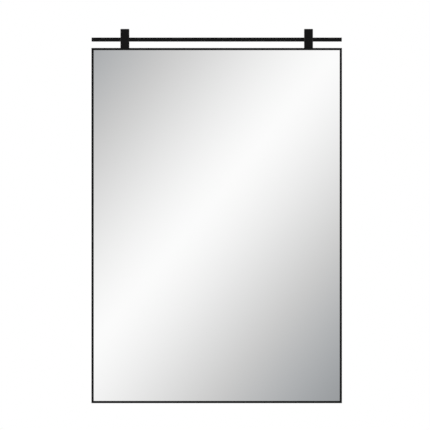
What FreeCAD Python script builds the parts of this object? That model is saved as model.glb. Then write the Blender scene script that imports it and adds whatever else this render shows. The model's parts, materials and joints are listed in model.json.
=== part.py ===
import FreeCAD, Part
import math
import os

# Wall mirror in a slim black steel frame, with a bar across two upright straps above it.
# Millimetres. The wall is the plane y = 0, the mirror faces -Y and +Z is up.
# The origin lies on the wall, behind the centre of the frame.

# Frame, mitred from four lengths of flat bar standing on edge
frame_width = 610.0
frame_height = 865.0
bar_face = 4.5
bar_depth = 20.0
bar_edge_radius = 0.6
wall_gap = 2.0

# Mirror glass, the strips that bond it and the board behind it
glass_recess = 2.0
glass_thickness = 4.0
glass_edge_gap = 0.5
glass_arris = 0.5
strip_thickness = 1.0
strip_width = 25.0
strip_count = 5
strip_side_inset = 26.0
strip_end_inset = 40.0
board_thickness = 9.0
board_edge_gap = 1.0

# Lugs welded inside the frame that carry the board
lug_width = 26.0
lug_reach = 20.0
lug_thickness = 2.0
lug_corner_radius = 5.0
lug_hole_inset = 11.0
lug_hole_clearance = 0.3
long_side_lug_count = 3
long_side_lug_inset = 130.0
short_side_lug_count = 2
short_side_lug_inset = 150.0

# Pan-head screws of the board and the hangers
screw_diameter = 3.5
screw_head_diameter = 7.0
screw_head_height = 1.6
screw_head_bevel = 0.7
screw_tip_length = 1.6
screw_pilot_clearance = 0.05
board_screw_length = 8.5
hanger_screw_length = 8.0

# Upright straps on top of the frame
strap_width = 21.5
strap_thickness = 4.0
strap_height = 46.5
strap_inset = 81.3
strap_setback = 2.0
strap_corner_radius = 1.2
strap_edge_radius = 0.6

# Bar behind the straps and the countersunk screws that hold it
rail_section = 9.5
rail_end_setback = 0.0
rail_axis_height = 21.0
rail_edge_radius = 0.8
rail_end_bevel = 0.4
rail_screw_diameter = 4.0
rail_screw_head_diameter = 7.6
rail_screw_bite = 2.8
rail_hole_clearance = 0.1

# D-ring hangers on the back of the board
hanger_inset = 99.5
hanger_drop = 140.0
leaf_thickness = 1.0
leaf_length = 38.0
barrel_clearance = 0.2
barrel_blend_radius = 2.0
hanger_hole_clearance = 0.15
hanger_first_hole = 11.0
hanger_hole_pitch = 14.0
ring_wire = 2.5
ring_inner_width = 20.0
ring_corner_radius = 3.0
ring_side_length = 4.0
ring_side_play = 0.25
ring_rest_gap = 0.3

# Rubber bumpers between the board and the wall
bumper_diameter = 12.0
bumper_tip_diameter = 9.0
bumper_tip_bevel = 0.8
bumper_inset = 40.0

# Depths of the layers, from the front of the frame to the wall
frame_back = -wall_gap
frame_front = frame_back - bar_depth
glass_front = frame_front + glass_recess
glass_back = glass_front + glass_thickness
board_front = glass_back + strip_thickness
board_back = board_front + board_thickness
lug_back = board_back + lug_thickness
strap_front = frame_front + strap_setback
strap_back = strap_front + strap_thickness
rail_back = strap_back + rail_section

# Openings and heights that the pieces share
inner_width = frame_width - 2 * bar_face
inner_height = frame_height - 2 * bar_face
frame_top = frame_height / 2
rail_axis = frame_top + rail_axis_height
glass_width = inner_width - 2 * glass_edge_gap
glass_height = inner_height - 2 * glass_edge_gap
board_width = inner_width - 2 * board_edge_gap
board_height = inner_height - 2 * board_edge_gap
strip_pitch = (board_width - 2 * strip_side_inset - strip_width) / (strip_count - 1)
long_side_lug_pitch = (frame_height - 2 * long_side_lug_inset) / (long_side_lug_count - 1)
short_side_lug_pitch = (frame_width - 2 * short_side_lug_inset) / (short_side_lug_count - 1)
rail_length = frame_width - 2 * rail_end_setback

# Ring and barrel, worked out from the wire
ring_wire_radius = ring_wire / 2
ring_arch_radius = (ring_inner_width + ring_wire) / 2
ring_bar_length = 2 * (ring_arch_radius - ring_corner_radius)
ring_reach = ring_corner_radius + ring_side_length + ring_arch_radius
leaf_width = ring_bar_length - 2 * ring_side_play
barrel_bore = ring_wire_radius + barrel_clearance
barrel_radius = barrel_bore + leaf_thickness
barrel_y = board_back + barrel_radius
barrel_z = frame_top - hanger_drop
ring_lean = math.degrees(math.asin((barrel_radius - ring_wire_radius - ring_rest_gap) / ring_reach))

AXIS_X = FreeCAD.Vector(1, 0, 0)
AXIS_Y = FreeCAD.Vector(0, 1, 0)
AXIS_Z = FreeCAD.Vector(0, 0, 1)
PARALLEL_TOLERANCE = 1e-6

# Sides of the frame: distance from the centre to the outer face, outer length, lug count and lug pitch
SHORT_SIDE = (frame_height / 2, frame_width, short_side_lug_count, short_side_lug_pitch)
LONG_SIDE = (frame_width / 2, frame_height, long_side_lug_count, long_side_lug_pitch)
SIDES = {"top": SHORT_SIDE, "right": LONG_SIDE, "bottom": SHORT_SIDE, "left": LONG_SIDE}
SIDE_TURN_DEGREES = {"top": 0, "right": 90, "bottom": 180, "left": 270}


def vec(x, y, z):
    return FreeCAD.Vector(x, y, z)


def block(width, y_front, y_back, z_low, z_high, x_centre=0.0):
    """A box centred on x_centre."""
    corner = vec(x_centre - width / 2, y_front, z_low)
    return Part.makeBox(width, y_back - y_front, z_high - z_low, corner)


def is_parallel(a, b):
    return a.cross(b).Length < PARALLEL_TOLERANCE


def edges_along(shape, direction):
    """The straight edges of a shape that run along a direction."""
    found = []
    for edge in shape.Edges:
        if isinstance(edge.Curve, Part.Line) and is_parallel(edge.Curve.Direction, direction):
            found.append(edge)
    return found


def spread(count, pitch):
    """Evenly spaced places about zero."""
    return [(i - (count - 1) / 2) * pitch for i in range(count)]


def polygon(points):
    return Part.Face(Part.makePolygon(points + points[:1]))


def side_placement(side):
    """Turns a piece drawn with its outer face at z = 0 onto one side of the frame."""
    distance = SIDES[side][0]
    turn = FreeCAD.Rotation(AXIS_Y, SIDE_TURN_DEGREES[side])
    return FreeCAD.Placement(turn.multVec(AXIS_Z) * distance, turn)


def frame_bar(side):
    """One length of flat bar, mitred at both ends, with its long edges eased."""
    half = SIDES[side][1] / 2
    outline = [
        vec(-half, frame_front, 0),
        vec(half, frame_front, 0),
        vec(half - bar_face, frame_front, -bar_face),
        vec(-half + bar_face, frame_front, -bar_face),
    ]
    bar = polygon(outline).extrude(AXIS_Y * bar_depth)
    bar = bar.makeFillet(bar_edge_radius, edges_along(bar, AXIS_X))
    bar.Placement = side_placement(side)
    return bar


def lug_points():
    """Where each lug's screw goes through it, with the side that the lug stands on."""
    points = []
    for side, (_, _, count, pitch) in SIDES.items():
        for along in spread(count, pitch):
            points.append((side, along))
    return points


def lug_screw_place(side, along):
    return side_placement(side).multVec(vec(along, board_back, -bar_face - lug_hole_inset))


def fixing_lug(side, along):
    """A flat lug that reaches from the frame over the back of the board."""
    lug = block(lug_width, board_back, lug_back, -bar_face - lug_reach, -bar_face, along)
    inner_corners = [e for e in edges_along(lug, AXIS_Y) if e.CenterOfMass.z < -bar_face - lug_reach / 2]
    lug = lug.makeFillet(lug_corner_radius, inner_corners)
    hole_radius = screw_diameter / 2 + lug_hole_clearance
    hole_base = vec(along, board_back, -bar_face - lug_hole_inset)
    lug = lug.cut(Part.makeCylinder(hole_radius, lug_thickness, hole_base, AXIS_Y))
    lug.Placement = side_placement(side)
    return lug


def pan_screw(seat, length):
    """A pan-head screw with its head on a seat that faces +Y and its point towards -Y."""
    radius = screw_diameter / 2
    head_radius = screw_head_diameter / 2
    shank = Part.makeCylinder(radius, length - screw_tip_length, seat, -AXIS_Y)
    tip_base = seat - AXIS_Y * (length - screw_tip_length)
    tip = Part.makeCone(radius, 0, screw_tip_length, tip_base, -AXIS_Y)
    head = Part.makeCylinder(head_radius, screw_head_height, seat, AXIS_Y)
    rim = [e for e in head.Edges if e.BoundBox.YMin > seat.y + screw_head_height / 2]
    head = head.makeChamfer(screw_head_bevel, rim)
    return head.fuse([shank, tip]).removeSplitter()


def mirror_glass():
    """The mirror pane with its edges ground to a small arris."""
    pane = block(glass_width, glass_front, glass_back, -glass_height / 2, glass_height / 2)
    return pane.makeChamfer(glass_arris, pane.Edges)


def bonding_strips():
    """Upright strips of foam tape between the glass and the board."""
    half = board_height / 2 - strip_end_inset
    places = spread(strip_count, strip_pitch)
    return [block(strip_width, glass_back, board_front, -half, half, x) for x in places]


def hanger_centres():
    x = board_width / 2 - hanger_inset
    return [-x, x]


def hanger_hole_heights():
    first = barrel_z - hanger_first_hole
    return [first, first - hanger_hole_pitch]


def back_board():
    """The board that the glass is bonded to, drilled for the screws in its back."""
    board = block(board_width, board_front, board_back, -board_height / 2, board_height / 2)
    radius = screw_diameter / 2 + screw_pilot_clearance
    places = [(lug_screw_place(*point), board_screw_length - lug_thickness) for point in lug_points()]
    for x in hanger_centres():
        for z in hanger_hole_heights():
            places.append((vec(x, board_back, z), hanger_screw_length - 2 * leaf_thickness))
    pilots = [Part.makeCylinder(radius, depth, mouth, -AXIS_Y) for mouth, depth in places]
    return board.cut(pilots)


def upright_strap(x):
    """A flat upright on top of the frame, in front of the bar, tapped for the bar's screw."""
    top = frame_top + strap_height
    strap = block(strap_width, strap_front, strap_back, frame_top, top, x)
    upper = [e for e in edges_along(strap, AXIS_Y) if e.CenterOfMass.z > top - strap_corner_radius]
    strap = strap.makeFillet(strap_corner_radius, upper)
    front = [e for e in strap.Edges if e.BoundBox.YMax < strap_front + strap_edge_radius]
    front = [e for e in front if e.BoundBox.ZMax > frame_top + strap_edge_radius]
    strap = strap.makeFillet(strap_edge_radius, front)
    hole_radius = rail_screw_diameter / 2 + rail_hole_clearance
    hole = Part.makeCylinder(hole_radius, rail_screw_bite, vec(x, strap_back, rail_axis), -AXIS_Y)
    return strap.cut(hole)


def strap_centres():
    x = frame_width / 2 - strap_inset
    return [-x, x]


def rail_screw(x, clearance):
    """A countersunk screw from behind the bar, or its hole if it is given a clearance."""
    radius = rail_screw_diameter / 2 + clearance
    head_radius = rail_screw_head_diameter / 2 + clearance
    cone_height = head_radius - radius
    start = vec(x, rail_back, rail_axis)
    shank = Part.makeCylinder(radius, rail_section + rail_screw_bite, start, -AXIS_Y)
    head = Part.makeCone(head_radius, radius, cone_height, start, -AXIS_Y)
    return shank.fuse(head).removeSplitter()


def header_rail():
    """The square bar that crosses behind both straps, with its long edges eased and its ends bevelled."""
    half = rail_section / 2
    rail = block(rail_length, strap_back, rail_back, rail_axis - half, rail_axis + half)
    rail = rail.makeFillet(rail_edge_radius, edges_along(rail, AXIS_X))
    end_edges = [e for e in rail.Edges if e.BoundBox.XLength < rail_end_bevel]
    rail = rail.makeChamfer(rail_end_bevel, end_edges)
    return rail.cut([rail_screw(x, rail_hole_clearance) for x in strap_centres()])


def hanger_plate(x):
    """A strip folded round the ring's bar, its two leaves lying together on the board."""
    leaf_back = board_back + 2 * leaf_thickness
    low = barrel_z - leaf_length
    blend_y = leaf_back + barrel_blend_radius
    blend_span = barrel_radius + barrel_blend_radius
    blend_drop = math.sqrt(blend_span ** 2 - (blend_y - barrel_y) ** 2)
    blend_centre = vec(0, blend_y, barrel_z - blend_drop)
    barrel_centre = vec(0, barrel_y, barrel_z)
    towards_barrel = (barrel_centre - blend_centre).normalize()
    blend_start = blend_centre - AXIS_Y * barrel_blend_radius
    blend_end = blend_centre + towards_barrel * barrel_blend_radius
    bisector = (towards_barrel - AXIS_Y).normalize()
    blend_middle = blend_centre + bisector * barrel_blend_radius
    barrel_back = barrel_centre + (AXIS_Y + AXIS_Z).normalize() * barrel_radius
    barrel_seat = barrel_centre - AXIS_Y * barrel_radius
    foot_front = vec(0, board_back, low)
    foot_back = vec(0, leaf_back, low)
    outline = Part.Wire([
        Part.LineSegment(foot_back, blend_start).toShape(),
        Part.Arc(blend_start, blend_middle, blend_end).toShape(),
        Part.Arc(blend_end, barrel_back, barrel_seat).toShape(),
        Part.LineSegment(barrel_seat, foot_front).toShape(),
        Part.LineSegment(foot_front, foot_back).toShape(),
    ])
    plate = Part.Face(outline).extrude(AXIS_X * leaf_width)
    plate.translate(AXIS_X * (-leaf_width / 2))
    foot_corners = [e for e in edges_along(plate, AXIS_Y) if e.CenterOfMass.z < low + leaf_thickness]
    plate = plate.makeFillet(leaf_width / 2 - leaf_thickness, foot_corners)
    bore = Part.makeCylinder(barrel_bore, leaf_width, barrel_centre - AXIS_X * (leaf_width / 2), AXIS_X)
    hole_radius = screw_diameter / 2 + hanger_hole_clearance
    cuts = [bore]
    for z in hanger_hole_heights():
        cuts.append(Part.makeCylinder(hole_radius, 2 * leaf_thickness, vec(0, board_back, z), AXIS_Y))
    plate = plate.cut(cuts)
    plate.translate(AXIS_X * x)
    return plate


def d_ring(x):
    """A wire ring with one straight side in the barrel, leaning upright against the board."""
    half_bar = ring_bar_length / 2
    shoulder = ring_corner_radius + ring_side_length
    bend = ring_corner_radius * math.sqrt(0.5)
    arch = ring_arch_radius
    right_bend = vec(half_bar + bend, 0, ring_corner_radius - bend)
    left_bend = vec(-half_bar - bend, 0, ring_corner_radius - bend)
    path = Part.Wire([
        Part.LineSegment(vec(-half_bar, 0, 0), vec(half_bar, 0, 0)).toShape(),
        Part.Arc(vec(half_bar, 0, 0), right_bend, vec(arch, 0, ring_corner_radius)).toShape(),
        Part.LineSegment(vec(arch, 0, ring_corner_radius), vec(arch, 0, shoulder)).toShape(),
        Part.Arc(vec(arch, 0, shoulder), vec(0, 0, ring_reach), vec(-arch, 0, shoulder)).toShape(),
        Part.LineSegment(vec(-arch, 0, shoulder), vec(-arch, 0, ring_corner_radius)).toShape(),
        Part.Arc(vec(-arch, 0, ring_corner_radius), left_bend, vec(-half_bar, 0, 0)).toShape(),
    ])
    section = Part.Wire([Part.makeCircle(ring_wire_radius, vec(-half_bar, 0, 0), AXIS_X)])
    ring = path.makePipeShell([section], True, False)
    ring.rotate(vec(0, 0, 0), AXIS_X, ring_lean)
    ring.translate(vec(x, barrel_y, barrel_z))
    return ring


def wall_bumper(x, z):
    """A tapered rubber bumper from the back of the board to the wall."""
    height = -board_back
    base = vec(x, board_back, z)
    bumper = Part.makeCone(bumper_diameter / 2, bumper_tip_diameter / 2, height, base, AXIS_Y)
    rim = [e for e in bumper.Edges if e.BoundBox.YMin > board_back + height / 2 and e.Closed]
    return bumper.makeChamfer(bumper_tip_bevel, rim)


def wall_bumpers():
    x = board_width / 2 - bumper_inset
    z = board_height / 2 - bumper_inset
    return [wall_bumper(sx * x, sz * z) for sx in (-1, 1) for sz in (-1, 1)]


def board_screws():
    seats = [lug_screw_place(*point) + AXIS_Y * lug_thickness for point in lug_points()]
    return [pan_screw(seat, board_screw_length) for seat in seats]


def hanger_screws():
    seat_y = board_back + 2 * leaf_thickness
    seats = [vec(x, seat_y, z) for x in hanger_centres() for z in hanger_hole_heights()]
    return [pan_screw(seat, hanger_screw_length) for seat in seats]


def build():
    """Every node of the mirror by name. A list becomes one node of separate solids."""
    nodes = {f"frame_{side}": frame_bar(side) for side in SIDES}
    nodes["mirror_glass"] = mirror_glass()
    nodes["bonding_strips"] = bonding_strips()
    nodes["back_board"] = back_board()
    nodes["fixing_lugs"] = [fixing_lug(*point) for point in lug_points()]
    nodes["board_screws"] = board_screws()
    nodes["header_rail"] = header_rail()
    nodes["rail_screws"] = [rail_screw(x, 0.0) for x in strap_centres()]
    nodes["hanger_screws"] = hanger_screws()
    nodes["wall_bumpers"] = wall_bumpers()
    for hand, x in zip(("left", "right"), strap_centres()):
        nodes[f"strap_{hand}"] = upright_strap(x)
    for hand, x in zip(("left", "right"), hanger_centres()):
        nodes[f"hanger_plate_{hand}"] = hanger_plate(x)
        nodes[f"d_ring_{hand}"] = d_ring(x)
    return nodes


def main():
    os.makedirs("parts", exist_ok=True)
    for name, shape in build().items():
        if isinstance(shape, list):
            shape = Part.makeCompound(shape)
        shape.exportStep(f"parts/{name}.step")
        print(name, len(shape.Solids), "solids", round(shape.Volume, 1), "mm3", shape.isValid())


main()
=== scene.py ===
import json
import math

import bmesh
import bpy
from mathutils import Matrix, Vector


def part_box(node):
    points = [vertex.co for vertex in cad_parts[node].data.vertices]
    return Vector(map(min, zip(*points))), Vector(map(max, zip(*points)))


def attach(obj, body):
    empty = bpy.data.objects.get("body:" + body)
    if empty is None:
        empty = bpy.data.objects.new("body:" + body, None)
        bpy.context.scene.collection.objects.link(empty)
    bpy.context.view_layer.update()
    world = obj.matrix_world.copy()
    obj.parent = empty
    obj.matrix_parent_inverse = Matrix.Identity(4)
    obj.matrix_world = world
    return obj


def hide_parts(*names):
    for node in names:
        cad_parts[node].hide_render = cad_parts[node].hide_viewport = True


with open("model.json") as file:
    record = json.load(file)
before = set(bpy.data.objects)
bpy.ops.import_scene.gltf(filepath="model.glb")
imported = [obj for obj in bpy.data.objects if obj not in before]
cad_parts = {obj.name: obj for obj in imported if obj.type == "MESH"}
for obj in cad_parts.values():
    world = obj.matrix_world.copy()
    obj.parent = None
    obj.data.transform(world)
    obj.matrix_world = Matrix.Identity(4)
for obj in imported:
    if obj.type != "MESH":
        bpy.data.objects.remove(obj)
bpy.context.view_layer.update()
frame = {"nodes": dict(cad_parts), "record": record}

# Looks of a wall mirror in a slim black steel frame. Metres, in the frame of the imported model:
# the wall is the plane y = 0, the mirror faces -Y and +Z is up.
MM = 0.001
NODES = frame["nodes"]
BODY = "mirror"
STRAPS = ("strap_left", "strap_right")
RIGHT = Vector((1, 0, 0))
BACK = Vector((0, 1, 0))
UP = Vector((0, 0, 1))
QUARTER_TURN = math.pi / 2
FULL_TURN = 2 * math.pi
WHITE = (1.0, 1.0, 1.0)

# Where the frame lies in the square photograph, in pixels from its upper left corner
PHOTO_SIDE_PX = 430
FRAME_LEFT_PX = 91.42
FRAME_RIGHT_PX = 341.98
FRAME_TOP_PX = 47.91

# Camera and floor
CAMERA_DISTANCE = 6.0
SENSOR_WIDTH_MM = 36.0
FLOOR_BELOW_CENTRE = 1.35
FLOOR_RADIUS = 4.0
FLOOR_FADE_START = 1.2
FLOOR_SEGMENTS = 128
FLOOR_COLOUR = (0.86, 0.86, 0.85)
FLOOR_ROUGHNESS = 0.9
FLOOR_SHINE = 0.1

# Studio light: an even surround and three large soft lamps (place, side, watts)
SURROUND_LEVEL = 0.55
LAMP_TARGET = Vector((0, 0, 0))
LAMPS = {
    "key_lamp": ((-1.9, -2.5, 2.5), 2.4, 70.0),
    "fill_lamp": ((2.4, -2.0, 1.7), 2.0, 35.0),
    "back_lamp": ((0.9, 2.7, 2.1), 2.2, 70.0),
}

# The screen that the glass reflects: soft bright bands that run from lower left to upper right.
# Places across the bands are parts of the reflected ray's unit direction, to the right and down.
SCREEN_TURN = math.radians(40)
BAND_CENTRE = -0.00435
BAND_WIDTH = 0.0828
BAND_SPACING = 0.29
BAND_POWER = 1.478
DIM_COLOUR = (0.96, 1.0, 1.04)
DIM_LEVEL = 0.3
BRIGHT_LEVEL = 0.65

# Powder coat. Here and below, TONES and ROUGHNESS are the two ends that a noise runs between.
# The coat is lighter where the largest part of the normal is small, which is along rounded edges: rubbed
# wear on the frame, and a painted highlight on the straps.
COAT_TONES = ((0.0016, 0.0016, 0.0017), (0.0034, 0.0033, 0.0035))
COAT_ROUGHNESS = (0.48, 0.60)
COAT_RUBBED_SMOOTHER = 0.10
COAT_SHINE = 0.17
FRAME_EDGE_TONE = 0.0085
# The straps' pale edge tone is a painted highlight along their rounded edges, not wear.
STRAP_PAINTED_HIGHLIGHT_TONE = 0.2
ROUND_START = 0.97
ROUND_FULL = 0.75

# Silvered glass
SILVER_TONES = ((0.960, 0.961, 0.960), (0.968, 0.969, 0.968))
SILVER_RIM = (0.89, 0.91, 0.90)
SILVER_RIM_START = 0.4 * MM
SILVER_RIM_END = 0.9 * MM
SILVER_ROUGHNESS = (0.006, 0.022)
GLASS_EDGE_TONES = ((0.10, 0.125, 0.115), (0.15, 0.185, 0.17))
BACK_PAINT_TONES = ((0.16, 0.18, 0.19), (0.22, 0.24, 0.25))
UNSILVERED_ROUGHER = 0.35
FLAT_FACE = 0.99

# Fibreboard. FIBRE_TURNS are the ways that its fibres lie, from level.
BOARD_TONES = ((0.300, 0.197, 0.116), (0.360, 0.244, 0.150))
BOARD_MOTTLE = (0.400, 0.282, 0.182)
BOARD_SANDER_MARK = (0.255, 0.163, 0.094)
BOARD_FLUFF = (0.285, 0.183, 0.106)
BOARD_PALE_FIBRE = (0.47, 0.345, 0.228)
BOARD_DARK_FIBRE = (0.165, 0.098, 0.052)
BOARD_SANDING_LINE = (0.44, 0.31, 0.20)
BOARD_ROUGHNESS = (0.74, 0.92)
BOARD_SHINE = 0.3
FIBRE_SIZE = 0.3 * MM
FIBRE_STRETCH = (8.0, 1.0, 1.0)
FIBRE_CURL = 1.2
FIBRE_TURNS = [math.radians(degrees) for degrees in (12, 58, 101, 149)]

# Foam tape, zinc plate and rubber
FOAM_TONES = ((0.70, 0.69, 0.66), (0.80, 0.80, 0.78))
FOAM_CELL = (0.45, 0.44, 0.41)
FOAM_ROUGHNESS = (0.80, 0.92)
ZINC_TONES = ((0.50, 0.53, 0.57), (0.70, 0.69, 0.66))
ZINC_SPANGLE = (0.78, 0.80, 0.82)
ZINC_ROUGHNESS = (0.20, 0.34)
ZINC_SCRATCH_ROUGHER = 0.12
RUBBER_TONE = (0.014, 0.014, 0.015)
RUBBER_DUST = (0.065, 0.062, 0.058)
RUBBER_ROUGHNESS = (0.70, 0.86)

# Screws. Seen from behind, the points of one screw lie less than SCREW_SPREAD apart.
SCREW_SPREAD = 8 * MM
SCREW_SEGMENTS = 32
SCREW_TURN = math.radians(137.5)
HEAD_EDGE = 0.12 * MM
RINGS_PER_PITCH = 6
THREAD_RIDGE_SHARE = 0.5
THREAD_TIP_SHARE = 0.08
PAN_HEAD_HEIGHT = 1.6 * MM
PAN_RIM_HEIGHT = 0.65 * MM
PAN_DOME_STEPS = 8
PAN_DOME_POWER = 2.6
PAN_SHANK_RADIUS = 1.75 * MM
PAN_CORE_RADIUS = 1.25 * MM
PAN_THREAD_PITCH = 1.35 * MM
PAN_TIP_LENGTH = 1.6 * MM
PAN_NECK_LENGTH = 2.0 * MM
CROSS_LENGTH = 3.9 * MM
CROSS_WIDTH = 0.95 * MM
CROSS_DEPTH = 1.15 * MM
CROSS_TAPER = 0.42
RAIL_SCREW_SHANK_RADIUS = 2.0 * MM
RAIL_SCREW_CORE_RADIUS = 1.65 * MM
RAIL_SCREW_PITCH = 0.7 * MM
HEX_SIDES = 6
HEX_ACROSS_CORNERS = 2.9 * MM
HEX_DEPTH = 1.5 * MM

# Welds. The points of one lug lie less than LUG_SPREAD apart, and its root is within LUG_SEAT_GAP of
# the inner face of the frame that carries it.
STRAP_WELD_LEG = 1.7 * MM
LUG_WELD_LEG = 1.3 * MM
LUG_SPREAD = 40 * MM
LUG_SEAT_GAP = 1 * MM
CORNER_WELD_LEG = 1.2 * MM
WELD_RIPPLE_PITCH = 1.5 * MM
WELD_RIPPLE_DEPTH = 0.09
WELD_RINGS_PER_RIPPLE = 6
WELD_BULGE = 0.4
WELD_ROOT_SINK = 0.15 * MM
WELD_ARC_STEPS = 6
WELD_END_POWER = 12
WELD_END_SIZE = 0.25

SMOOTH_ANGLE = math.radians(35)


def colour(value):
    """Three numbers become an opaque colour, and a socket stays as it is."""
    if isinstance(value, bpy.types.NodeSocket):
        return value
    return (*value, 1.0)


class Graph:
    """A shader node tree that is built from the inputs to the output."""

    def __init__(self, tree):
        self.tree = tree

    def fill(self, socket, value):
        """Links a socket to another, or sets its value."""
        if isinstance(value, bpy.types.NodeSocket):
            self.tree.links.new(value, socket)
        else:
            socket.default_value = value

    def add(self, kind, inputs=None, **settings):
        """A node with its settings made and its inputs linked or filled in, by name or by place."""
        made = self.tree.nodes.new("ShaderNode" + kind)
        for name, value in settings.items():
            setattr(made, name, value)
        for name, value in (inputs or {}).items():
            self.fill(made.inputs[name], value)
        return made

    def calc(self, operation, a, b=0.0, *more):
        """Arithmetic on numbers or sockets, from the first to the last."""
        result = self.add("Math", {0: a, 1: b}, operation=operation).outputs["Value"]
        return self.calc(operation, result, *more) if more else result

    def mix(self, factor, a, b):
        """Colour a at factor 0 and b at factor 1."""
        made = self.add("Mix", data_type="RGBA")
        sockets = {s.identifier: s for s in made.inputs}
        self.fill(sockets["Factor_Float"], factor)
        self.fill(sockets["A_Color"], colour(a))
        self.fill(sockets["B_Color"], colour(b))
        return next(s for s in made.outputs if s.identifier == "Result_Color")

    def span(self, value, start, end, low=0.0, high=1.0):
        """The value from start to end, eased onto low to high."""
        inputs = {"Value": value, "From Min": start, "From Max": end, "To Min": low, "To Max": high}
        return self.add("MapRange", inputs, interpolation_type="SMOOTHSTEP").outputs["Result"]

    def stain(self, base, over, amount, start, end, most=1.0):
        """A base with a colour over it, which grows to most as the amount goes from start to end."""
        return self.mix(self.span(amount, start, end, high=most), base, over)

    def axes(self, vector):
        """The X, Y and Z of a vector, by name or in turn."""
        return self.add("SeparateXYZ", {"Vector": vector}).outputs


class Surface(Graph):
    """A material whose nodes read the piece's own coordinates, in metres."""

    def __init__(self, name):
        self.material = bpy.data.materials.new(name)
        self.material.use_nodes = True
        super().__init__(self.material.node_tree)
        self.shader = self.tree.nodes["Principled BSDF"]
        coordinates = self.add("TexCoord")
        self.place = coordinates.outputs["Object"]
        self.normal = coordinates.outputs["Normal"]

    def noise(self, size, detail=3.0, stretch=(1.0, 1.0, 1.0), turn=0.0, distortion=0.0):
        """Cloudy noise from 0 to 1, with features of a size, stretched along axes turned about Y."""
        scale = [size * factor for factor in stretch]
        mapping = {"Vector": self.place, "Rotation": (0.0, turn, 0.0), "Scale": scale}
        place = self.add("Mapping", mapping, vector_type="TEXTURE").outputs["Vector"]
        inputs = {"Vector": place, "Scale": 1.0, "Detail": detail, "Distortion": distortion}
        return self.add("TexNoise", inputs).outputs["Fac"]

    def cells(self, size):
        """Distance to the nearest of many scattered points, about a size apart."""
        inputs = {"Vector": self.place, "Scale": 1.0 / size}
        return self.add("TexVoronoi", inputs).outputs["Distance"]

    def bump(self, height, depth, under=None):
        """The normal of a relief whose height of 0 to 1 stands for a depth, over another if given."""
        inputs = {"Height": height, "Distance": depth, "Strength": 1.0}
        if under is not None:
            inputs["Normal"] = under
        return self.add("Bump", inputs).outputs["Normal"]

    def finish(self, **inputs):
        """Sets the shader's sockets and gives the material."""
        for name, value in inputs.items():
            self.fill(self.shader.inputs[name.replace("_", " ")], value)
        return self.material


def powder_coat(name, edge_wear_and_highlight_tone):
    """Matt black powder coat with orange peel, lighter in patches along the rounded edges: rubbed wear
    with the frame's edge tone, a painted highlight with the straps' pale one.
    """
    coat = Surface(name)
    cloud = coat.noise(size=40 * MM)
    peel = coat.noise(size=1.1 * MM)
    grit = coat.noise(size=0.28 * MM)
    patch = coat.span(coat.noise(size=9 * MM), 0.42, 0.62, low=0.5)
    flattest = coat.calc("MAXIMUM", *[coat.calc("ABSOLUTE", part) for part in coat.axes(coat.normal)])
    # Patches along rounded edges: rubbed wear at the frame's dark edge tone, painted highlight at the
    # straps' pale tone.
    edge_wear_and_highlight = coat.calc("MULTIPLY", coat.span(flattest, ROUND_START, ROUND_FULL), patch)
    base = coat.mix(cloud, *COAT_TONES)
    base = coat.mix(edge_wear_and_highlight, base, [edge_wear_and_highlight_tone] * 3)
    rough = coat.span(peel, 0.3, 0.7, *COAT_ROUGHNESS)
    rough = coat.calc("SUBTRACT", rough, coat.calc("MULTIPLY", edge_wear_and_highlight, COAT_RUBBED_SMOOTHER))
    normal = coat.bump(grit, depth=0.01 * MM, under=coat.bump(peel, depth=0.05 * MM))
    return coat.finish(Base_Color=base, Roughness=rough, Normal=normal, Specular_IOR_Level=COAT_SHINE)


def silvered_glass():
    """Silver behind clear glass, with dark green ground edges and grey paint on the back.

    The pane is centred on x = 0 and z = 0, so its high corner gives half its width and height.
    """
    glass = Surface("silvered_glass")
    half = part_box("mirror_glass")[1]
    place = glass.axes(glass.place)
    facing = glass.axes(glass.normal)["Y"]
    from_side = glass.calc("SUBTRACT", half.x, glass.calc("ABSOLUTE", place["X"]))
    from_end = glass.calc("SUBTRACT", half.z, glass.calc("ABSOLUTE", place["Z"]))
    inside = glass.calc("MINIMUM", from_side, from_end)
    silver = glass.mix(glass.noise(size=160 * MM), *SILVER_TONES)
    silver = glass.stain(SILVER_RIM, silver, inside, SILVER_RIM_START, SILVER_RIM_END)
    edge = glass.mix(glass.noise(size=3 * MM), *GLASS_EDGE_TONES)
    paint = glass.mix(glass.noise(size=12 * MM), *BACK_PAINT_TONES)
    is_front = glass.calc("LESS_THAN", facing, -FLAT_FACE)
    is_back = glass.calc("GREATER_THAN", facing, FLAT_FACE)
    base = glass.mix(is_back, glass.mix(is_front, edge, silver), paint)
    haze = glass.noise(size=60 * MM, stretch=(2.0, 1.0, 0.5))
    rough = glass.span(haze, 0.45, 0.75, *SILVER_ROUGHNESS)
    unsilvered = glass.calc("SUBTRACT", 1.0, is_front)
    rough = glass.calc("ADD", rough, glass.calc("MULTIPLY", unsilvered, UNSILVERED_ROUGHER))
    wave = glass.bump(glass.noise(size=220 * MM, detail=1.0), depth=0.004 * MM)
    return glass.finish(Base_Color=base, Metallic=is_front, Roughness=rough, Normal=wave)


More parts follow.
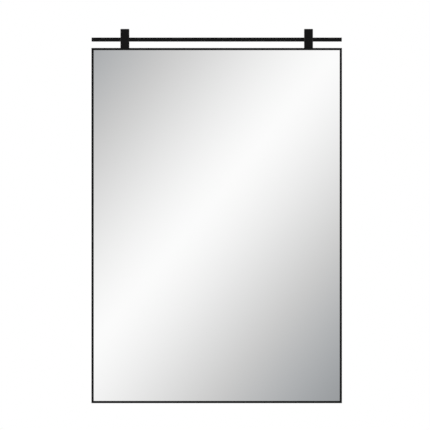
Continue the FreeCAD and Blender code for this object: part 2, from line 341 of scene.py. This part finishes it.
def fibreboard():
    """Bare fibreboard: short fibres that lie all ways, sanding lines and a slow change of tone."""
    board = Surface("fibreboard")
    layers = [board.noise(FIBRE_SIZE, stretch=FIBRE_STRETCH, turn=turn, distortion=FIBRE_CURL)
              for turn in FIBRE_TURNS]
    light = board.calc("MAXIMUM", *layers)
    dark = board.calc("MINIMUM", *layers)
    sanding = board.noise(size=0.9 * MM, stretch=(1.0, 1.0, 260.0))
    fluff = board.noise(size=5 * MM, detail=5.0)
    mottle = board.noise(size=26 * MM, detail=5.0)
    sander = board.noise(size=11 * MM, stretch=(1.0, 1.0, 40.0))
    base = board.mix(board.noise(size=120 * MM), *BOARD_TONES)
    base = board.stain(base, BOARD_MOTTLE, mottle, 0.40, 0.72, most=0.6)
    base = board.stain(base, BOARD_SANDER_MARK, sander, 0.40, 0.70, most=0.25)
    base = board.stain(base, BOARD_FLUFF, fluff, 0.35, 0.65, most=0.35)
    base = board.stain(base, BOARD_PALE_FIBRE, light, 0.60, 0.78, most=0.55)
    base = board.stain(base, BOARD_DARK_FIBRE, dark, 0.38, 0.22, most=0.7)
    base = board.stain(base, BOARD_SANDING_LINE, sanding, 0.55, 0.75, most=0.15)
    rough = board.span(light, 0.4, 0.8, *BOARD_ROUGHNESS)
    normal = board.bump(light, depth=0.03 * MM, under=board.bump(sanding, depth=0.02 * MM))
    return board.finish(Base_Color=base, Roughness=rough, Normal=normal, Specular_IOR_Level=BOARD_SHINE)


def foam_tape():
    """White closed-cell foam with darker cells and a slow change of tone."""
    foam = Surface("foam_tape")
    cell = foam.cells(size=0.35 * MM)
    tone = foam.noise(size=25 * MM)
    base = foam.mix(tone, *FOAM_TONES)
    base = foam.stain(base, FOAM_CELL, cell, 0.15, 0.0)
    rough = foam.span(tone, 0.3, 0.7, *FOAM_ROUGHNESS)
    normal = foam.bump(cell, depth=0.08 * MM)
    return foam.finish(Base_Color=base, Roughness=rough, Normal=normal)


def zinc_plate():
    """Bright zinc plate on steel, cloudy with passivation, spangled and finely scratched."""
    zinc = Surface("zinc_plate")
    cloud = zinc.noise(size=3.5 * MM)
    scratches = zinc.noise(size=0.25 * MM, stretch=(1.0, 1.0, 8.0))
    spangle = zinc.cells(size=0.8 * MM)
    base = zinc.mix(zinc.span(cloud, 0.35, 0.68), *ZINC_TONES)
    base = zinc.stain(base, ZINC_SPANGLE, spangle, 0.1, 0.6, most=0.35)
    rough = zinc.span(cloud, 0.3, 0.7, *ZINC_ROUGHNESS)
    rough = zinc.calc("ADD", rough, zinc.span(scratches, 0.4, 0.7, high=ZINC_SCRATCH_ROUGHER))
    normal = zinc.bump(scratches, depth=0.008 * MM)
    return zinc.finish(Base_Color=base, Roughness=rough, Normal=normal, Metallic=1.0)


def bumper_rubber():
    """Matt black rubber with a moulded grain and a little pale dust."""
    rubber = Surface("bumper_rubber")
    grain = rubber.noise(size=0.4 * MM)
    dust = rubber.noise(size=2.5 * MM, detail=5.0)
    base = rubber.stain(RUBBER_TONE, RUBBER_DUST, dust, 0.55, 0.75, most=0.5)
    rough = rubber.span(grain, 0.3, 0.7, *RUBBER_ROUGHNESS)
    normal = rubber.bump(grain, depth=0.03 * MM)
    return rubber.finish(Base_Color=base, Roughness=rough, Normal=normal)


def coat_nodes(slot_finishes, node_finishes):
    """Gives each carried-over node its own finish, or else the finish of its material slot."""
    for row in frame["record"]["subparts"]:
        finish = node_finishes.get(row["node"], slot_finishes[row["material_slot"]])
        NODES[row["node"]].data.materials.clear()
        NODES[row["node"]].data.materials.append(finish)


def solid_boxes(node, spread):
    """The low and high corners of each solid in a node, for solids further apart than spread."""
    groups = []
    for vertex in NODES[node].data.vertices:
        point = vertex.co
        for group in groups:
            if math.hypot(point.x - group[0].x, point.z - group[0].z) < spread:
                group.append(point)
                break
        else:
            groups.append([point])
    boxes = []
    for group in groups:
        low = Vector([min(p[i] for p in group) for i in range(3)])
        high = Vector([max(p[i] for p in group) for i in range(3)])
        boxes.append((low, high))
    return boxes


def linked_object(name, work):
    """A mesh object in the scene made from a bmesh."""
    mesh = bpy.data.meshes.new(name)
    bmesh.ops.recalc_face_normals(work, faces=work.faces)
    work.to_mesh(mesh)
    work.free()
    obj = bpy.data.objects.new(name, mesh)
    bpy.context.scene.collection.objects.link(obj)
    return obj


def add_piece(name, work, finish, slot, *replaced):
    """A new piece that moves with the mirror, in place of the nodes it replaces."""
    obj = linked_object(name, work)
    obj.data.polygons.foreach_set("use_smooth", [True] * len(obj.data.polygons))
    obj.data.set_sharp_from_angle(angle=SMOOTH_ANGLE)
    obj.data.materials.append(finish)
    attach(obj, BODY)
    if replaced:
        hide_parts(*replaced)


def close_rings(work, rings):
    """A closed form from rings of vertices: quads from ring to ring, and a face over each end."""
    for ring, following in zip(rings, rings[1:]):
        for i in range(len(ring)):
            j = (i + 1) % len(ring)
            work.faces.new((ring[i], ring[j], following[j], following[i]))
    work.faces.new(rings[0])
    work.faces.new(rings[-1])


def lathe(stations):
    """A closed turned form about +Y. A station is a height and a radius that may vary with the angle."""
    work = bmesh.new()
    rings = []
    for height, radius in stations:
        ring = []
        for i in range(SCREW_SEGMENTS):
            angle = FULL_TURN * i / SCREW_SEGMENTS
            reach = radius(angle) if callable(radius) else radius
            ring.append(work.verts.new((reach * math.cos(angle), height, reach * math.sin(angle))))
        rings.append(ring)
    close_rings(work, rings)
    return work


def thread_stations(start, end, core, crest, pitch, tip_length=0.0):
    """Stations up a threaded shank, from its tip at start to its neck at end."""
    count = round((end - start) / pitch * RINGS_PER_PITCH)

    def station(i):
        height = start + (end - start) * i / count
        taper = min(1.0, THREAD_TIP_SHARE + (height - start) / tip_length) if tip_length else 1.0

        def radius(angle):
            phase = (height / pitch - angle / FULL_TURN) % 1.0
            ridge = max(0.0, 1.0 - abs(phase - 0.5) * 2 / THREAD_RIDGE_SHARE)
            return taper * (core + (crest - core) * ridge)

        return height, radius

    return [station(i) for i in range(count + 1)]


def recessed_mesh(work, cutters):
    """The mesh of a closed form with the cutters taken out of it."""
    body = linked_object("recessed", work)
    tools = [linked_object("cutter", cutter) for cutter in cutters]
    for tool in tools:
        cut = body.modifiers.new("recess", "BOOLEAN")
        cut.object = tool
        cut.solver = "EXACT"
    depsgraph = bpy.context.evaluated_depsgraph_get()
    mesh = bpy.data.meshes.new_from_object(body.evaluated_get(depsgraph))
    for obj in [body, *tools]:
        bpy.data.objects.remove(obj)
    return mesh


def recess_bar(bottom, top, turn):
    """A cutter for one bar of a cross recess. Towards its bottom it narrows, less across than along."""
    work = bmesh.new()
    rings = []
    for height, size in ((bottom, CROSS_TAPER), (top, 1.0)):
        x = CROSS_LENGTH / 2 * size
        z = CROSS_WIDTH / 2 * (1 + size) / 2
        corners = [(-x, -z), (x, -z), (x, z), (-x, z)]
        rings.append([work.verts.new((cx, height, cz)) for cx, cz in corners])
    close_rings(work, rings)
    bmesh.ops.rotate(work, verts=work.verts, matrix=Matrix.Rotation(turn, 3, "Y"))
    return work


def pan_screw_mesh(length, head_radius):
    """A pan-head wood screw with a cross recess, seated at height 0 with its head up +Y."""
    stations = thread_stations(-length, -PAN_NECK_LENGTH, PAN_CORE_RADIUS, PAN_SHANK_RADIUS,
                               PAN_THREAD_PITCH, PAN_TIP_LENGTH)
    stations += [(-PAN_NECK_LENGTH, PAN_SHANK_RADIUS), (0.0, PAN_SHANK_RADIUS)]
    stations += [(0.0, head_radius - HEAD_EDGE), (HEAD_EDGE, head_radius)]
    dome_height = PAN_HEAD_HEIGHT - PAN_RIM_HEIGHT
    for i in range(PAN_DOME_STEPS):
        share = math.sin(QUARTER_TURN * i / PAN_DOME_STEPS)
        rise = share ** (2 / PAN_DOME_POWER)
        reach = (1 - share ** 2) ** (1 / PAN_DOME_POWER)
        stations.append((PAN_RIM_HEIGHT + dome_height * rise, head_radius * reach))
    bottom = PAN_HEAD_HEIGHT - CROSS_DEPTH
    top = PAN_HEAD_HEIGHT + HEAD_EDGE
    bars = [recess_bar(bottom, top, turn) for turn in (0.0, QUARTER_TURN)]
    return recessed_mesh(lathe(stations), bars)


def rail_screw_mesh(length, head_radius):
    """A countersunk machine screw with a hexagon socket, its flat head at height 0."""
    cone_height = head_radius - RAIL_SCREW_SHANK_RADIUS
    neck = 2 * cone_height
    stations = thread_stations(-length, -neck, RAIL_SCREW_CORE_RADIUS, RAIL_SCREW_SHANK_RADIUS,
                               RAIL_SCREW_PITCH)
    stations += [(-neck, RAIL_SCREW_SHANK_RADIUS), (-cone_height, RAIL_SCREW_SHANK_RADIUS)]
    stations += [(-HEAD_EDGE, head_radius - HEAD_EDGE), (0.0, head_radius - 2 * HEAD_EDGE)]
    socket = bmesh.new()
    radius = HEX_ACROSS_CORNERS / 2
    bmesh.ops.create_cone(socket, cap_ends=True, segments=HEX_SIDES, radius1=radius, radius2=radius,
                          depth=2 * HEX_DEPTH)
    bmesh.ops.rotate(socket, verts=socket.verts, matrix=Matrix.Rotation(QUARTER_TURN, 3, "X"))
    return recessed_mesh(lathe(stations), [socket])


def copies_at(mesh, seats):
    """Copies of a screw's mesh at each seat, each turned by another amount about its axis."""
    work = bmesh.new()
    for i, seat in enumerate(seats):
        before = len(work.verts)
        work.from_mesh(mesh)
        work.verts.ensure_lookup_table()
        placed = Matrix.Translation(seat) @ Matrix.Rotation(i * SCREW_TURN, 4, "Y")
        bmesh.ops.transform(work, matrix=placed, verts=work.verts[before:])
    return work


def seats_in(boxes, below_head):
    """The points on the screws' axes at a distance below the tops of their heads."""
    seats = []
    for low, high in boxes:
        middle = (low + high) / 2
        seats.append(Vector((middle.x, high.y - below_head, middle.z)))
    return seats


def pan_screws(node, finish):
    """Detailed screws in place of a node of plain pan-head screws."""
    boxes = solid_boxes(node, SCREW_SPREAD)
    low, high = boxes[0]
    mesh = pan_screw_mesh(high.y - low.y - PAN_HEAD_HEIGHT, (high.x - low.x) / 2)
    work = copies_at(mesh, seats_in(boxes, PAN_HEAD_HEIGHT))
    add_piece(node + "_cross_recess", work, finish, "zinc_steel", node)


def rail_screws(finish):
    """Detailed screws in place of the node of plain countersunk screws."""
    boxes = solid_boxes("rail_screws", SCREW_SPREAD)
    low, high = boxes[0]
    mesh = rail_screw_mesh(high.y - low.y, (high.x - low.x) / 2)
    work = copies_at(mesh, seats_in(boxes, 0.0))
    add_piece("rail_screws_hex_socket", work, finish, "black_steel", "rail_screws")


def weld_bead(work, start, end, out_a, out_b, leg):
    """A rippled fillet weld from start to end, in the corner of two faces that point out_a and out_b."""
    length = (end - start).length
    count = round(length / WELD_RIPPLE_PITCH * WELD_RINGS_PER_RIPPLE)
    rings = []
    for i in range(count + 1):
        along = i / count
        ripple = 1 + WELD_RIPPLE_DEPTH * math.sin(FULL_TURN * along * length / WELD_RIPPLE_PITCH)
        ending = (1 - abs(2 * along - 1) ** WELD_END_POWER) ** 0.5
        size = leg * (WELD_END_SIZE + (1 - WELD_END_SIZE) * ending * ripple)
        centre = start.lerp(end, along)
        ring = [centre - (out_a + out_b) * WELD_ROOT_SINK]
        for j in range(WELD_ARC_STEPS + 1):
            angle = QUARTER_TURN * j / WELD_ARC_STEPS
            flat = 1 / (math.cos(angle) + math.sin(angle))
            reach = size * (flat + (1 - flat) * WELD_BULGE)
            ring.append(centre + (out_a * math.cos(angle) + out_b * math.sin(angle)) * reach)
        rings.append([work.verts.new(p) for p in ring])
    close_rings(work, rings)


def strap_welds(finish):
    """A weld along the back of each strap's foot on the frame."""
    work = bmesh.new()
    for node in STRAPS:
        low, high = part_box(node)
        start = Vector((low.x, high.y, low.z))
        end = Vector((high.x, high.y, low.z))
        weld_bead(work, start, end, BACK, UP, STRAP_WELD_LEG)
    add_piece("strap_welds", work, finish, "black_steel")


def frame_opening():
    """The inner faces of the frame: the left and right ones in x, and the bottom and top ones in z."""
    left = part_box("frame_left")[1].x
    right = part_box("frame_right")[0].x
    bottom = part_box("frame_bottom")[1].z
    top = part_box("frame_top")[0].z
    return left, right, bottom, top


def lug_root(low, high):
    """The two ends of a lug's back edge at the frame, and the direction from there into the opening."""
    left, right, bottom, top = frame_opening()
    y = high.y
    if abs(low.x - left) < LUG_SEAT_GAP:
        return Vector((left, y, low.z)), Vector((left, y, high.z)), RIGHT
    if abs(high.x - right) < LUG_SEAT_GAP:
        return Vector((right, y, low.z)), Vector((right, y, high.z)), -RIGHT
    if abs(low.z - bottom) < LUG_SEAT_GAP:
        return Vector((low.x, y, bottom)), Vector((high.x, y, bottom)), UP
    return Vector((low.x, y, top)), Vector((high.x, y, top)), -UP


def lug_welds(finish):
    """A weld along the back of each lug's root, against the inner face of the frame."""
    work = bmesh.new()
    for low, high in solid_boxes("fixing_lugs", LUG_SPREAD):
        start, end, inward = lug_root(low, high)
        weld_bead(work, start, end, inward, BACK, LUG_WELD_LEG)
    add_piece("lug_welds", work, finish, "black_steel")


def corner_welds(finish):
    """A weld along each inner corner of the frame, from the board towards the wall."""
    work = bmesh.new()
    left, right, bottom, top = frame_opening()
    start_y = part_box("back_board")[1].y
    end_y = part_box("frame_top")[1].y - CORNER_WELD_LEG / 2
    for x, across in ((left, RIGHT), (right, -RIGHT)):
        for z, along in ((bottom, UP), (top, -UP)):
            start = Vector((x, start_y, z))
            end = Vector((x, end_y, z))
            weld_bead(work, start, end, across, along, CORNER_WELD_LEG)
    add_piece("corner_welds", work, finish, "black_steel")


def photo_camera():
    """A camera square-on to the glass, framed as the photograph is."""
    low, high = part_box("frame_top")
    metres_per_px = (high.x - low.x) / (FRAME_RIGHT_PX - FRAME_LEFT_PX)
    centre_x = low.x + (PHOTO_SIDE_PX / 2 - FRAME_LEFT_PX) * metres_per_px
    centre_z = high.z - (PHOTO_SIDE_PX / 2 - FRAME_TOP_PX) * metres_per_px
    lens = bpy.data.cameras.new("camera")
    lens.sensor_width = SENSOR_WIDTH_MM
    lens.lens = SENSOR_WIDTH_MM * CAMERA_DISTANCE / (PHOTO_SIDE_PX * metres_per_px)
    camera = bpy.data.objects.new("camera", lens)
    camera.location = (centre_x, low.y - CAMERA_DISTANCE, centre_z)
    camera.rotation_euler = (QUARTER_TURN, 0, 0)
    bpy.context.scene.collection.objects.link(camera)
    bpy.context.scene.camera = camera


def soft_lamps():
    """Large square lamps that face the middle of the mirror. Those before it don't show in reflections."""
    for name, (place, side, watts) in LAMPS.items():
        lamp = bpy.data.lights.new(name, "AREA")
        lamp.size = side
        lamp.energy = watts
        obj = bpy.data.objects.new(name, lamp)
        obj.location = place
        obj.rotation_euler = (LAMP_TARGET - Vector(place)).to_track_quat("-Z", "Y").to_euler()
        behind_mirror = place[1] > 0
        obj.visible_glossy = behind_mirror
        bpy.context.scene.collection.objects.link(obj)


def band_light(graph, distance):
    """The light of a soft band, 1 at its middle, at a distance across it."""
    share = graph.calc("POWER", graph.calc("DIVIDE", distance, BAND_WIDTH), BAND_POWER)
    return graph.calc("EXPONENT", graph.calc("MULTIPLY", share, -1.0))


def studio_surround():
    """White to the camera, an even surround for lighting, and a graded screen in reflections."""
    world = bpy.data.worlds.new("studio")
    bpy.context.scene.world = world
    world.use_nodes = True
    world.node_tree.nodes.clear()
    graph = Graph(world.node_tree)
    direction = graph.add("TexCoord").outputs["Generated"]
    across = (math.cos(SCREEN_TURN), 0.0, -math.sin(SCREEN_TURN))
    place = graph.add("VectorMath", {0: direction, 1: across}, operation="DOT_PRODUCT").outputs["Value"]
    near = graph.calc("PINGPONG", graph.calc("SUBTRACT", place, BAND_CENTRE), BAND_SPACING / 2)
    far = graph.calc("SUBTRACT", BAND_SPACING, near)
    level = graph.calc("ADD", band_light(graph, near), band_light(graph, far))
    tint = graph.stain(DIM_COLOUR, WHITE, level, DIM_LEVEL, BRIGHT_LEVEL)
    screen = graph.add("Background", {"Color": tint, "Strength": level})
    even = graph.add("Background", {"Color": colour(WHITE), "Strength": SURROUND_LEVEL})
    white = graph.add("Background", {"Color": colour(WHITE), "Strength": 1.0})
    path = graph.add("LightPath").outputs
    seen = graph.calc("MAXIMUM", path["Is Camera Ray"], path["Is Transmission Ray"])
    lit = graph.add("MixShader", {0: path["Is Glossy Ray"], 1: even.outputs[0], 2: screen.outputs[0]})
    shown = graph.add("MixShader", {0: seen, 1: lit.outputs[0], 2: white.outputs[0]})
    graph.add("OutputWorld", {"Surface": shown.outputs[0]})


def pale_floor():
    """A pale floor that fades out into the white surround, and that is clear from its underside."""
    pale = Surface("floor")
    from_middle = pale.add("VectorMath", {0: pale.place}, operation="LENGTH").outputs["Value"]
    fade = pale.span(from_middle, FLOOR_FADE_START, FLOOR_RADIUS, low=1.0, high=0.0)
    underside = pale.add("NewGeometry").outputs["Backfacing"]
    cover = pale.calc("MULTIPLY", fade, pale.calc("SUBTRACT", 1.0, underside))
    finish = pale.finish(Base_Color=colour(FLOOR_COLOUR), Roughness=FLOOR_ROUGHNESS,
                         Specular_IOR_Level=FLOOR_SHINE, Alpha=cover)
    work = bmesh.new()
    bmesh.ops.create_circle(work, cap_ends=True, segments=FLOOR_SEGMENTS, radius=FLOOR_RADIUS)
    floor = linked_object("floor", work)
    floor.location = (0, 0, -FLOOR_BELOW_CENTRE)
    floor.data.materials.append(finish)


def main():
    """Dresses the mirror and sets up the studio round it."""
    black = powder_coat("powder_coat", FRAME_EDGE_TONE)
    # The straps' coat has a painted highlight along its rounded edges.
    strap_coat = powder_coat("strap_coat", STRAP_PAINTED_HIGHLIGHT_TONE)
    zinc = zinc_plate()
    slot_finishes = {
        "black_steel": black,
        "mirror": silvered_glass(),
        "fibreboard": fibreboard(),
        "foam_tape": foam_tape(),
        "zinc_steel": zinc,
        "rubber": bumper_rubber(),
    }
    coat_nodes(slot_finishes, {strap: strap_coat for strap in STRAPS})
    pan_screws("board_screws", zinc)
    pan_screws("hanger_screws", zinc)
    rail_screws(black)
    strap_welds(black)
    lug_welds(black)
    corner_welds(black)
    photo_camera()
    soft_lamps()
    studio_surround()
    pale_floor()
    bpy.context.scene.view_settings.view_transform = "Standard"


main()
